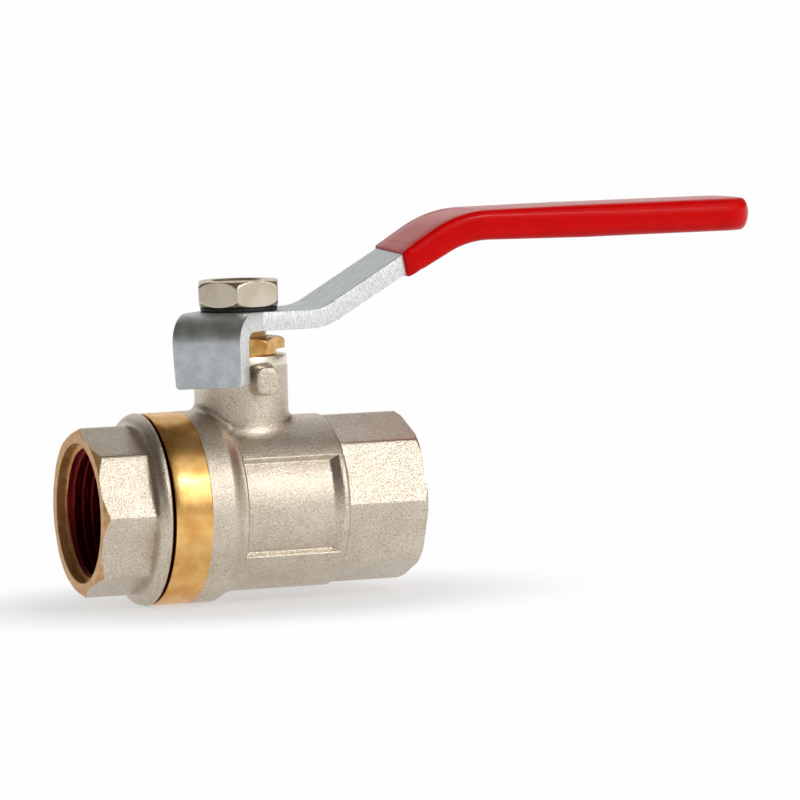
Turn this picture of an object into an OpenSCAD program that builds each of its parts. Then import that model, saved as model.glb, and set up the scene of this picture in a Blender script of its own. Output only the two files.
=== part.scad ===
// Lever-operated brass ball valve for a water pipe, with a female thread at each end.
// Origin: where the stem axis crosses the pipe axis, at the ball's centre.
// +X runs along the pipe to the outlet, +Z runs up the stem, and the lever lies along +X when open.

/* [Pipe ends] */
// Bore through the valve, open from end to end
port_d = 25; // [22:0.5:26]
// Width across the flats of the eight-sided ends
end_af = 38; // [37:0.5:40]
// Distance from the stem axis to the outlet face
outlet_len = 40.2; // [38:0.2:46]
// Distance from the stem axis to the inlet face
inlet_len = 42.2; // [41:0.2:48]
// Minor diameter of the pipe thread, which is what the tapped hole measures
pipe_minor_d = 30.3; // [29:0.1:31]
// Depth of the pipe thread from the face
pipe_thread_len = 17.5; // [12:0.5:18]
// Diameter of the relief turned in front of the pipe thread
relief_d = 33.6; // [33:0.1:35]
// Depth of the relief where it is cylindrical
relief_len = 1.2; // [0.5:0.1:2]
// Depth to which the octagons' corners are turned off at the faces
end_chamfer = 1.4; // [0.6:0.1:2]
// Length along the pipe of that chamfer
end_chamfer_len = 0.8; // [0.4:0.1:2]

/* [Valve body] */
// Outside diameter of the round middle of the body
mid_d = 41.8; // [41:0.2:43]
// Outside diameter of the wide collar that takes the cap
collar_d = 46.4; // [45:0.2:50]
// Distance from the stem axis to the end of the body on the inlet side
body_end = 25.3; // [23:0.1:26]
// Distance from the stem axis to where the bare turned band stops
band_end = 16.1; // [13:0.1:18]
// Distance from the stem axis to where the wide collar starts to round down
shoulder_start = 10.6; // [9.5:0.1:12]
// Distance from the stem axis to where the round middle starts
shoulder_end = 4.6; // [2:0.1:7]
// Distance from the stem axis to where the octagon of the outlet starts
octagon_start = 19; // [17:0.1:24]
// Diameter of the threaded joint between the body and the cap
joint_d = 40; // [39.5:0.1:41]
// Distance from the stem axis to the shoulder that stops the cap's nose
joint_shoulder = 10.6; // [9.8:0.1:12]

/* [Side panels] */
// Distance from the stem axis to the inlet side of a panel's floor
panel_floor_in = 4.3; // [2:0.1:6]
// Distance from the stem axis to the outlet side of a panel's floor
panel_floor_out = 16.6; // [10:0.1:18]
// Height of a panel's floor
panel_floor_h = 21; // [12:0.5:26]
// Depth of a panel below the round middle
panel_depth = 1.4; // [0.5:0.1:1.8]
// Run of the sloping end walls of a panel
panel_wall_run = 2.6; // [1:0.1:4]
// Run of the sloping long walls of a panel
panel_wall_rise = 1.5; // [0.5:0.1:3]

/* [Neck and stops] */
// Outside diameter of the neck round the stem
neck_d = 22.7; // [21:0.1:24]
// Height of the neck's top face above the pipe axis
neck_top = 35.4; // [33:0.1:38]
// Height of the bright turned part at the neck's top
neck_turned_h = 2.8; // [1:0.1:4]
// Radius of the blend at the foot of the neck
neck_blend_r = 2.4; // [1:0.1:4]
// Width of a stop lug along the pipe
lug_w = 5.8; // [4:0.1:7]
// Distance from the stem axis to a lug's stop face, towards the inlet
lug_stop_x = 1; // [0:0.1:2]
// How far a lug reaches from the stem axis
lug_reach = 16.5; // [15.5:0.1:18]
// Height of a lug's top above the pipe axis
lug_top = 33.8; // [31:0.1:35]
// Height of a lug
lug_h = 6; // [4:0.1:8]

/* [Ball and seats] */
// Diameter of the ball
ball_d = 35; // [33.5:0.5:36]
// Width of the slot in the top of the ball
slot_w = 7; // [5:0.25:8]
// Depth of the slot below the top of the ball
slot_depth = 3.6; // [3:0.1:4]
// Outside diameter of a seat ring
seat_d = 32.7; // [31:0.1:34]
// Distance from the stem axis to the back of a seat
seat_back = 14.6; // [14:0.1:15.6]
// Distance from the stem axis to the front of a seat
seat_front = 8.6; // [8:0.1:10]
// Bore of a seat ring
seat_bore_d = 25.2; // [25:0.1:28]

/* [Stem] */
// Diameter of the stem where it turns in the body
stem_d = 12.8; // [12:0.1:13]
// Diameter of the collar that keeps the stem from being blown out
stem_collar_d = 16.4; // [15:0.1:17.5]
// Height of that collar
stem_collar_h = 2.7; // [2:0.1:3]
// Thread diameter at the top of the stem
stem_thread_d = 11.8; // [10:0.1:12]
// Distance across the two flats that drive the lever
stem_flats = 9; // [8:0.1:10]
// Width of the stem's driving tongue across the pipe
tongue_len = 13; // [10:0.5:14]
// Thickness of the thrust washer above the collar
thrust_washer_t = 1; // [0.6:0.1:1.5]
// Height of the part of the body that guides the stem
stem_guide_h = 3.4; // [3:0.1:4.5]
// Thickness of the sealing ring in the stem's groove
o_ring_d = 1.2; // [0.8:0.05:1.4]

/* [Packing and gland] */
// Diameter of the packing chamber and of the gland thread
gland_thread_d = 16; // [15:0.1:17]
// Height of one packing ring
packing_h = 2.8; // [2:0.1:3]
// Thickness of the packing follower
follower_t = 1.15; // [0.8:0.05:1.5]
// Width across the flats of the gland nut
gland_af = 19; // [17:0.5:21]
// Height of the gland nut's hexagon
gland_hex_h = 2.9; // [2:0.1:4]
// Gap under the hexagon, where the gland thread shows
gland_gap = 1.2; // [0.5:0.1:2]
// Turn of the gland nut about the stem, in degrees
gland_angle = 47; // [0:1:59]

/* [Lever] */
// Width of the lever's steel strip
lever_w = 20.5; // [18:0.5:23]
// Thickness of the strip
lever_t = 4.3; // [3:0.1:4.5]
// Height of the underside of the lever's hub above the pipe axis
hub_z = 42.2; // [41.5:0.1:46]
// Distance from the stem axis to where the strip turns up, on its middle line
rise_x = 18.9; // [17:0.1:24]
// Rise from the hub to the grip, on the middle line
rise_h = 21.4; // [15:0.1:28]
// Slope of the rising part, in degrees
rise_angle = 30; // [25:1:35]
// Bend radius at the foot of the rise, on the middle line
low_bend_r = 13; // [8:0.5:16]
// Bend radius at the top of the rise, on the middle line
high_bend_r = 24; // [12:0.5:30]
// Distance from the stem axis to the strip's far end
lever_end_x = 132; // [110:1:160]
// Corner radius of the strip's far end, in plan
lever_end_r = 7.5; // [3:0.5:9]
// Width of the tab that strikes the stops
tab_w = 18; // [15:0.2:18.5]
// Direction of the tab in plan, in degrees from the inlet towards the front
tab_angle = 42.97; // [42:0.01:44]
// Gap between the neck and the tab's inner face
tab_gap = 0.35; // [0.3:0.05:1]
// Inside radius of the tab's bend
tab_bend_r = 3.65; // [2:0.05:5]
// Height of the tab's lower edge above the pipe axis
tab_bottom = 29.4; // [28:0.1:31.5]
// Corner radius of the tab's lower edge
tab_corner_r = 2.2; // [0.5:0.1:4]

/* [Grip sleeve] */
// Thickness of the dipped plastic sleeve
sleeve_t = 1.4; // [0.8:0.1:2.5]
// Distance from the stem axis to the sleeve's mouth, on the middle line of the strip
sleeve_start_x = 39.6; // [30:0.1:48]

/* [Washer and nut] */
// Diameter of the washer under the nut
washer_d = 18.6; // [16:0.1:20]
// Thickness of the washer
washer_t = 1.15; // [0.8:0.05:2]
// Width across the flats of the nut
nut_af = 19; // [17:0.5:21]
// Height of the nut
nut_h = 6.5; // [4:0.1:10]
// Turn of the nut about the stem, in degrees
nut_angle = 7; // [0:1:59]
// Depth of the stem's end below the top of the nut
stem_end_drop = 0.4; // [0:0.1:2]

/* [Clearances] */
// Radial play of turning stem parts and of screwed parts
turn_fit = 0.06; // [0.02:0.01:0.1]
// Gap between the ball and its seats
seat_gap = 0.15; // [0.1:0.05:0.3]
// Play of the tongue in the ball's slot, on each side
tongue_fit = 0.12; // [0.05:0.01:0.25]
// Gap between flat faces of turning parts
face_gap = 0.15; // [0.1:0.05:0.3]
// Gap between faces that are screwed together
joint_gap = 0.05; // [0.02:0.01:0.1]
// Radial gap round the ball in its chamber
chamber_gap = 0.4; // [0.3:0.05:0.6]

/* [Hidden] */

$fn = 96;

// Colours
nickel = [0.74, 0.70, 0.63];
brass = [0.84, 0.62, 0.26];
chrome = [0.85, 0.86, 0.87];
ptfe = [0.95, 0.95, 0.92];
rubber = [0.1, 0.1, 0.11];
zinc = [0.78, 0.81, 0.84];
red_plastic = [0.86, 0.02, 0.02];

// The corner radius of a regular polygon with n sides, from its width across flats
function corner_r(af, n) = af / 2 / cos(180 / n);

port_r = port_d / 2;
end_r = corner_r(end_af, 8);
mid_r = mid_d / 2;
collar_r = collar_d / 2;
joint_r = joint_d / 2;
ball_r = ball_d / 2;
chamber_r = ball_r + chamber_gap;
neck_r = neck_d / 2;
relief_r = relief_d / 2;
pipe_minor_r = pipe_minor_d / 2;
// Run of the cone between the relief and the thread
relief_cone = relief_r - pipe_minor_r;

// Seat rings and the recesses that hold them
seat_r = seat_d / 2;
seat_pocket_r = seat_r + joint_gap;
chamber_end = seat_front - face_gap * 2;

// Cap: its flange stops short of the body by this dark gap
flange_gap = 0.35;
flange_len = 0.9;
flange_x = -body_end - flange_gap;
flange_round = collar_r - end_r;
cap_octagon_end = flange_x - flange_len - flange_round;
seal_t = 0.75;
nose_x = -joint_shoulder - seal_t - 2 * joint_gap;

// Stem heights, from the ball upwards
stem_r = stem_d / 2;
stem_collar_r = stem_collar_d / 2;
stem_thread_r = stem_thread_d / 2;
slot_floor_z = ball_r - slot_depth;
tongue_z = slot_floor_z + face_gap * 2;
stem_collar_z = ball_r + face_gap * 3;
thrust_z = stem_collar_z + stem_collar_h + face_gap;
guide_z = thrust_z + thrust_washer_t + joint_gap;
packing_z = guide_z + stem_guide_h;
gland_thread_r = gland_thread_d / 2;
packing_step = packing_h + joint_gap;
follower_z = packing_z + joint_gap + 2 * packing_step;
gland_z = follower_z + follower_t + joint_gap;
gland_hex_z = neck_top + gland_gap;
gland_r = corner_r(gland_af, 6);
groove_h = o_ring_d * 1.35;
groove_z = guide_z + (stem_guide_h - groove_h) / 2;
o_ring_z = groove_z + groove_h / 2;
guide_r = stem_r + turn_fit;
o_ring_pitch_r = guide_r - turn_fit / 2 - o_ring_d / 2;
groove_r = o_ring_pitch_r - o_ring_d / 2 - turn_fit / 2;

// Lever heights and its middle line, which runs level, up the slope and level again
hub_top = hub_z + lever_t;
tab_inner = neck_r + tab_gap;
tab_outer = tab_inner + lever_t;
grip_x = rise_x + rise_h / tan(rise_angle);
low_mid_z = hub_z + lever_t / 2;
high_mid_z = low_mid_z + rise_h;
tab_bend_x = tab_inner - tab_bend_r;
// Where the strip's edge meets the tab's edge
strip_corner_x = (tab_w / 2 - lever_w / 2 * cos(tab_angle)) / sin(tab_angle);
washer_z = hub_top + joint_gap;
nut_z = washer_z + washer_t;
nut_top = nut_z + nut_h;
nut_r = corner_r(nut_af, 6);
stem_top = nut_top - stem_end_drop;

// Points of an arc about c, from angle a to angle b
function arc(c, r, a, b, n = 12) =
  [for (i = [0 : n]) c + r * [cos(a + (b - a) * i / n), sin(a + (b - a) * i / n)]];

// The lever's side line at a distance off above its middle line, from start_x to end_x
function side_line(off, start_x, end_x) = let (
    low_c = [rise_x - low_bend_r * tan(rise_angle / 2), low_mid_z + low_bend_r],
    high_c = [grip_x + high_bend_r * tan(rise_angle / 2), high_mid_z - high_bend_r]
  ) concat(
    [[start_x, low_mid_z + off]],
    arc(low_c, low_bend_r - off, -90, -90 + rise_angle),
    arc(high_c, high_bend_r + off, 90 + rise_angle, 90),
    [[end_x, high_mid_z + off]]
  );

// The strip's side view, thick above and below its middle line
function strip_outline(half_t, start_x, end_x) =
  concat(side_line(half_t, start_x, end_x), reverse(side_line(-half_t, start_x, end_x)));

function reverse(list) = [for (i = [len(list) - 1 : -1 : 0]) list[i]];

// Turns a drawing of radius against distance into a solid about the pipe axis
module about_pipe() {
  rotate([0, 90, 0]) rotate_extrude() children();
}

// Stands a drawing in the XZ plane and gives it a width along Y
module side_extrude(w) {
  rotate([90, 0, 0]) linear_extrude(w, center = true) children();
}

// A cylinder along the pipe from x0 to x1
module pipe_cyl(r, x0, x1) {
  translate([x0, 0, 0]) rotate([0, 90, 0]) cylinder(r = r, h = x1 - x0);
}

// A cone along the pipe, r0 at x0 and r1 at x1
module pipe_cone(r0, r1, x0, x1) {
  translate([x0, 0, 0]) rotate([0, 90, 0]) cylinder(r1 = r0, r2 = r1, h = x1 - x0);
}

// An octagon along the pipe from x0 to x1, one corner up, its end corners turned off at the face
module pipe_octagon(x0, x1, face_x) {
  out = sign(face_x);
  face_r = end_r - end_chamfer;
  intersection() {
    translate([x0, 0, 0]) rotate([0, 90, 0]) cylinder(r = end_r, h = x1 - x0, $fn = 8);
    union() {
      pipe_cyl(end_r + 1, min(0, face_x - out * end_chamfer_len), max(0, face_x - out * end_chamfer_len));
      if (out > 0) pipe_cone(end_r, face_r, face_x - end_chamfer_len, face_x);
      else pipe_cone(face_r, end_r, face_x, face_x + end_chamfer_len);
    }
  }
}

// The tapped hole of one pipe end, with its relief, from the face inwards
module pipe_socket(face_x) {
  mirror([face_x < 0 ? 1 : 0, 0, 0]) {
    l = abs(face_x);
    pipe_cyl(pipe_minor_r, l - pipe_thread_len, l + 1);
    pipe_cone(pipe_minor_r, relief_r, l - relief_len - relief_cone, l - relief_len);
    pipe_cyl(relief_r, l - relief_len, l + 1);
  }
}

// A flat ring about the stem axis
module stem_ring(r_out, r_in, z, h) {
  translate([0, 0, z]) difference() {
    cylinder(r = r_out, h = h);
    translate([0, 0, -1]) cylinder(r = r_in, h = h + 2);
  }
}

// A hexagon about the stem axis with its corners turned off above and, if wanted, below
module stem_hex(r, z, h, turn, both = true) {
  cut = r * 0.13;
  rise = cut * 0.55;
  translate([0, 0, z]) intersection() {
    rotate([0, 0, turn]) cylinder(r = r, h = h, $fn = 6);
    rotate_extrude() polygon([
      [0, 0], [both ? r - cut : r, 0], [r, both ? rise : 0], [r, h - rise], [r - cut, h], [0, h]
    ]);
  }
}

module body_outside() {
  edge = 0.3;
  turned = 0.1;
  drop = collar_r - mid_r;
  run = shoulder_start - shoulder_end;
  taper = mid_r - end_af / 2 + edge;
  about_pipe() polygon(concat(
    [[0, -body_end], [collar_r - turned - edge, -body_end], [collar_r - turned, edge - body_end]],
    [[collar_r - turned, -band_end - turned], [collar_r, -band_end], [collar_r, -shoulder_start]],
    [for (i = [1 : 11]) [mid_r + drop * (1 + cos(i * 15)) / 2, -shoulder_start + run * i / 12]],
    [[mid_r, -shoulder_end], [mid_r, octagon_start],
     [mid_r - taper, octagon_start + taper], [0, octagon_start + taper]]
  ));
  pipe_octagon(octagon_start - 1, outlet_len, outlet_len);
}

// The neck, its blend into the round middle and its turned top
module neck_outside() {
  turned = 0.1;
  edge = 0.3;
  foot_r = neck_r + neck_blend_r * (1 - cos(45));
  rotate_extrude() polygon(concat(
    [[0, mid_r / 2], [foot_r, mid_r / 2]],
    arc([neck_r + neck_blend_r, mid_r + neck_blend_r * sin(45)], neck_blend_r, 225, 180),
    [[neck_r, neck_top - neck_turned_h], [neck_r - turned, neck_top - neck_turned_h + turned],
     [neck_r - turned, neck_top - edge], [neck_r - turned - edge, neck_top], [0, neck_top]]
  ));
}

// One stop lug on the front of the neck
module stop_lug() {
  mid_z = lug_top - lug_h / 2;
  mid_x = lug_w / 2 - lug_stop_x;
  intersection() {
    translate([mid_x, -lug_reach, mid_z]) rotate([-90, 0, 0]) cylinder(r = lug_h / 2 + 0.6, h = lug_reach);
    translate([mid_x - lug_w / 2, -lug_reach, mid_z - lug_h / 2]) cube([lug_w, lug_reach, lug_h]);
  }
}

// The space that a side panel takes out of the round middle, on the front
module panel_cut() {
  floor_r = mid_r - panel_depth;
  deep = 2 * panel_depth;
  run = panel_wall_run * 2;
  half_h = panel_floor_h / 2;
  floor_y = sqrt(floor_r * floor_r - half_h * half_h);
  wall = panel_wall_rise / (sqrt(mid_r * mid_r - pow(half_h + panel_wall_rise, 2)) - floor_y);
  intersection() {
    about_pipe() polygon([
      [floor_r, -panel_floor_in], [floor_r, panel_floor_out],
      [floor_r + deep, panel_floor_out + run], [floor_r + deep, -panel_floor_in - run]
    ]);
    rotate([90, 0, 90]) linear_extrude(4 * mid_r, center = true) polygon([
      [-floor_y, -half_h], [-floor_y - 8, -half_h - 8 * wall],
      [-floor_y - 8, half_h + 8 * wall], [-floor_y, half_h]
    ]);
  }
}

module valve_body() {
  color(nickel) difference() {
    union() {
      body_outside();
      neck_outside();
      stop_lug();
      mirror([0, 1, 0]) stop_lug();
    }
    panel_cut();
    mirror([0, 1, 0]) panel_cut();
    // Thread for the cap, ball chamber, seat pocket and waterway
    pipe_cyl(joint_r, -body_end - 1, -joint_shoulder);
    pipe_cyl(chamber_r, -joint_shoulder - 1, chamber_end);
    pipe_cyl(seat_pocket_r, 0, seat_back + joint_gap);
    pipe_cyl(port_r, 0, outlet_len);
    pipe_socket(outlet_len);
    // Room for the stem's collar, the stem guide and the packing chamber
    cylinder(r = stem_collar_r + chamber_gap, h = guide_z);
    cylinder(r = guide_r, h = neck_top + 1);
    translate([0, 0, packing_z]) cylinder(r = gland_thread_r, h = neck_top);
  }
}

module end_cap() {
  edge = 0.3;
  color(nickel) difference() {
    union() {
      pipe_octagon(-inlet_len, flange_x - flange_len, -inlet_len);
      about_pipe() polygon(concat(
        [[0, cap_octagon_end]],
        arc([end_r, flange_x - flange_len], flange_round, -90, 0),
        [[collar_r, flange_x - edge], [collar_r - edge, flange_x], [0, flange_x]]
      ));
      pipe_cyl(joint_r - turn_fit, flange_x - 1, nose_x - 1);
      pipe_cone(joint_r - turn_fit, joint_r - 1, nose_x - 1, nose_x);
    }
    pipe_cyl(port_r, -inlet_len, nose_x + 1);
    pipe_socket(-inlet_len);
    pipe_cyl(seat_pocket_r, -seat_back - joint_gap, nose_x + 1);
  }
}

module body_seal_ring() {
  color(ptfe) difference() {
    pipe_cyl(joint_r - turn_fit, nose_x + joint_gap, -joint_shoulder - joint_gap);
    pipe_cyl(chamber_r, nose_x - 1, 0);
  }
}

// A seat ring on the outlet side, hollowed to the ball
module seat_ring() {
  color(ptfe) difference() {
    pipe_cyl(seat_r, seat_front, seat_back);
    pipe_cyl(seat_bore_d / 2, 0, seat_back + 1);
    sphere(r = ball_r + seat_gap);
  }
}

module outlet_seat() {
  seat_ring();
}

module inlet_seat() {
  mirror([1, 0, 0]) seat_ring();
}

module ball() {
  color(chrome) difference() {
    sphere(r = ball_r);
    pipe_cyl(port_r, -ball_d, ball_d);
    translate([-slot_w / 2, -ball_d, slot_floor_z]) cube([slot_w, 2 * ball_d, ball_d]);
  }
}

module stem() {
  tongue_t = slot_w - 2 * tongue_fit;
  color(brass) difference() {
    union() {
      intersection() {
        translate([-tongue_t / 2, -tongue_len / 2, tongue_z])
          cube([tongue_t, tongue_len, stem_collar_z - tongue_z + 1]);
        cylinder(r = stem_collar_r, h = stem_collar_z + 1);
      }
      translate([0, 0, stem_collar_z]) cylinder(r = stem_collar_r, h = stem_collar_h);
      translate([0, 0, stem_collar_z]) cylinder(r = stem_r, h = hub_z - joint_gap - stem_collar_z);
      intersection() {
        translate([0, 0, hub_z - 1]) union() {
          cylinder(r = stem_thread_r, h = stem_top - hub_z);
          translate([0, 0, stem_top - hub_z]) cylinder(r1 = stem_thread_r, r2 = stem_thread_r - 1, h = 1);
        }
        translate([-stem_flats / 2, -stem_d, hub_z - 1]) cube([stem_flats, 2 * stem_d, stem_top]);
      }
    }
    stem_ring(stem_d, groove_r, groove_z, groove_h);
  }
}

module stem_thrust_washer() {
  color(ptfe) stem_ring(stem_collar_r, guide_r, thrust_z, thrust_washer_t);
}

module stem_o_ring() {
  color(rubber) translate([0, 0, o_ring_z]) rotate_extrude()
    translate([o_ring_pitch_r, 0]) circle(d = o_ring_d, $fn = 32);
}

// One packing ring, counted from the bottom of the chamber
module packing_ring(i) {
  z = packing_z + joint_gap + i * packing_step;
  color(ptfe) stem_ring(gland_thread_r - turn_fit, guide_r, z, packing_h);
}

module packing_ring_lower() {
  packing_ring(0);
}

module packing_ring_upper() {
  packing_ring(1);
}

module packing_follower() {
  color(brass) stem_ring(gland_thread_r - turn_fit, guide_r, follower_z, follower_t);
}

module gland_nut() {
  color(brass) difference() {
    union() {
      translate([0, 0, gland_z]) cylinder(r = gland_thread_r - turn_fit, h = gland_hex_z - gland_z + 1);
      stem_hex(gland_r, gland_hex_z, gland_hex_h, gland_angle, both = false);
    }
    translate([0, 0, gland_z - 1]) cylinder(r = guide_r, h = gland_hex_z);
  }
}

// The tab's side view: level from inside the hub, a bend, then straight down
module tab_profile(start) {
  bend_c = [tab_bend_x, hub_z - tab_bend_r];
  polygon(concat(
    [[start, hub_z]],
    arc(bend_c, tab_bend_r, 90, 0),
    [[tab_inner, tab_bottom], [tab_outer, tab_bottom]],
    arc(bend_c, tab_bend_r + lever_t, 0, 90),
    [[start, hub_top]]
  ));
}

// What the rounding takes off one lower corner of the tab, in the tab's front view
module tab_corner_cut() {
  half = tab_w / 2;
  step = 90 / 12;
  out = 1;
  flat = out * tan(step / 2);
  steep = out / tan(step / 2);
  polygon(concat(
    [[half - tab_corner_r - out, tab_bottom - flat]],
    arc([half - tab_corner_r, tab_bottom + tab_corner_r], tab_corner_r, 270 + step, 360 - step, 10),
    [[half + out, tab_bottom + tab_corner_r + steep], [half + out, tab_bottom - out],
     [half - tab_corner_r - out, tab_bottom - out]]
  ));
}

// The strip's far end in plan, with rounded corners
function far_end(w, end_x, r) = concat(
    arc([end_x - r, r - w / 2], r, 270, 360),
    arc([end_x - r, w / 2 - r], r, 0, 90)
  );

// The lever in plan: the strip, and the tab that leaves its hub on the skew
module lever_plan() {
  out = [-cos(tab_angle), -sin(tab_angle)] * 2 * tab_outer;
  side = [sin(tab_angle), -cos(tab_angle)] * tab_w / 2;
  polygon(concat(
    [[strip_corner_x, -lever_w / 2]],
    far_end(lever_w, lever_end_x, lever_end_r),
    [[-strip_corner_x, lever_w / 2], out - side, out + side]
  ));
}

// The bent strip, grown by a skin on all sides
module bent_strip(skin) {
  intersection() {
    side_extrude(2 * lever_w) polygon(strip_outline(lever_t / 2 + skin, 0, lever_end_x + skin));
    translate([0, 0, hub_z - 2 * lever_t]) linear_extrude(rise_h + 6 * lever_t) polygon(concat(
      [[-1, lever_w / 2 + skin], [-1, -lever_w / 2 - skin]],
      far_end(lever_w + 2 * skin, lever_end_x + skin, lever_end_r + skin)
    ));
  }
}

module lever() {
  // The two slabs are this much wider than the plan that cuts them, and overlap inside the hub
  spare = 0.5;
  strip_start = -1;
  tab_start = -6.5;
  color(zinc) difference() {
    intersection() {
      union() {
        side_extrude(lever_w + spare) polygon(strip_outline(lever_t / 2, strip_start, lever_end_x + 1));
        rotate([0, 0, 180 + tab_angle]) side_extrude(tab_w + spare) tab_profile(tab_start);
      }
      linear_extrude(high_mid_z + lever_t) lever_plan();
    }
    rotate([0, 0, 180 + tab_angle]) {
      rotate([90, 0, 90]) linear_extrude(2 * tab_outer) tab_corner_cut();
      rotate([90, 0, 90]) linear_extrude(2 * tab_outer) mirror([1, 0, 0]) tab_corner_cut();
    }
    intersection() {
      translate([0, 0, hub_z - 1]) cylinder(r = stem_thread_r + turn_fit, h = lever_t + 2);
      translate([-stem_flats / 2 - turn_fit, -stem_d, hub_z - 1])
        cube([stem_flats + 2 * turn_fit, 2 * stem_d, lever_t + 2]);
    }
  }
}

module lever_sleeve() {
  color(red_plastic) difference() {
    bent_strip(sleeve_t);
    bent_strip(joint_gap);
    // Everything before the mouth, which is square to the rising strip
    translate([sleeve_start_x, 0, low_mid_z + (sleeve_start_x - rise_x) * tan(rise_angle)])
      rotate([0, -rise_angle, 0]) translate([-lever_end_x, -lever_w, -lever_end_x])
        cube([lever_end_x, 2 * lever_w, 2 * lever_end_x]);
  }
}

module lever_washer() {
  color(rubber) stem_ring(washer_d / 2, stem_thread_r + turn_fit, washer_z, washer_t);
}

module lever_nut() {
  color(nickel) difference() {
    stem_hex(nut_r, nut_z, nut_h, nut_angle);
    translate([0, 0, nut_z - 1]) cylinder(r = stem_thread_r + turn_fit, h = nut_h + 2);
  }
}

valve_body();
end_cap();
body_seal_ring();
inlet_seat();
outlet_seat();
ball();
stem();
stem_thrust_washer();
stem_o_ring();
packing_ring_lower();
packing_ring_upper();
packing_follower();
gland_nut();
lever();
lever_sleeve();
lever_washer();
lever_nut();
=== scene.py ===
import math

import bmesh
import bpy
import numpy as np
from mathutils import Matrix, Vector


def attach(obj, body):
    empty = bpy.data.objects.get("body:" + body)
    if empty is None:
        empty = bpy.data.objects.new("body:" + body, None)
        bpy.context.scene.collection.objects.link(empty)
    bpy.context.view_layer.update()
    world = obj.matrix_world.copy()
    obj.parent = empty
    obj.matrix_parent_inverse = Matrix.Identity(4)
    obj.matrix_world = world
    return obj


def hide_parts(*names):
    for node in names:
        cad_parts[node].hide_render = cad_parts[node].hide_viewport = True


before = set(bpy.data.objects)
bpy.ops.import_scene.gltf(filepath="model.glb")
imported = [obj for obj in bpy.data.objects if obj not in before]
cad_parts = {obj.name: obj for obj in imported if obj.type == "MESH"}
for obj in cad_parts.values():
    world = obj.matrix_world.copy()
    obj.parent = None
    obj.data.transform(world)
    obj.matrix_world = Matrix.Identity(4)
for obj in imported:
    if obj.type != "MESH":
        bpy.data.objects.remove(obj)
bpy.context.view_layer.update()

# ---------------------------------------------------------------- the view
# A long lens from the inlet side, a little above the pipe, as a catalogue picture is taken.
# The camera stands back from a point on the pipe's mid-plane and is turned a little about its own line.
MM = 0.001
view_turn, view_lift, view_roll = math.radians(21.306), math.radians(4.480), math.radians(-1.403)
view_distance = 1464.6 * MM
view_target = Vector((41.15, 0.0, 22.97)) * MM
towards_camera = Vector((
    -math.sin(view_turn) * math.cos(view_lift),
    -math.cos(view_turn) * math.cos(view_lift),
    math.sin(view_lift)))
level_right = (-towards_camera).cross(Vector((0, 0, 1))).normalized()
level_up = level_right.cross(-towards_camera)
right = level_right * math.cos(view_roll) + level_up * math.sin(view_roll)
up = level_up * math.cos(view_roll) - level_right * math.sin(view_roll)
lens = bpy.data.cameras.new("view")
lens.lens, lens.sensor_width = 270.0, 36.0
lens.clip_start, lens.clip_end = 0.05, 40.0
camera = bpy.data.objects.new("view", lens)
camera.matrix_world = Matrix.Translation(view_target + towards_camera * view_distance) @ Matrix(
    (right, up, towards_camera)).transposed().to_4x4()
bpy.context.collection.objects.link(camera)
bpy.context.scene.camera = camera
bpy.context.scene.view_settings.view_transform = "Standard"


# ---------------------------------------------------------------- the table and the lamps
# A white bowl stands in for the table and the paper behind it: flat under the valve, turned up all round.
# It is open above, so the valve's top faces mirror a darker room. Soft lamps stand in front and behind.
class Reading:
    """A value on its way through a material: sums on it add the maths nodes that work them out, on whichever
    side of the sign it stands."""

    def __init__(self, finish, socket):
        self.finish, self.socket = finish, socket

    def sum_up(self, operation, *values):
        """What one maths node makes of these values."""
        return self.finish.add("ShaderNodeMath", {"operation": operation}, dict(enumerate(values)))

    def __add__(self, other):
        return self.sum_up("ADD", self, other)

    def __radd__(self, other):
        return self.sum_up("ADD", other, self)

    def __sub__(self, other):
        return self.sum_up("SUBTRACT", self, other)

    def __rsub__(self, other):
        return self.sum_up("SUBTRACT", other, self)

    def __mul__(self, other):
        return self.sum_up("MULTIPLY", self, other)

    def __rmul__(self, other):
        return self.sum_up("MULTIPLY", other, self)

    def __truediv__(self, other):
        return self.sum_up("DIVIDE", self, other)

    def __rtruediv__(self, other):
        return self.sum_up("DIVIDE", other, self)

    def fade(self, low, high):
        """Nought below low, one above high, and smooth between them."""
        return self.finish.add(
            "ShaderNodeMapRange", {"interpolation_type": "SMOOTHSTEP"},
            {"Value": self, "From Min": low, "From Max": high})


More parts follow.
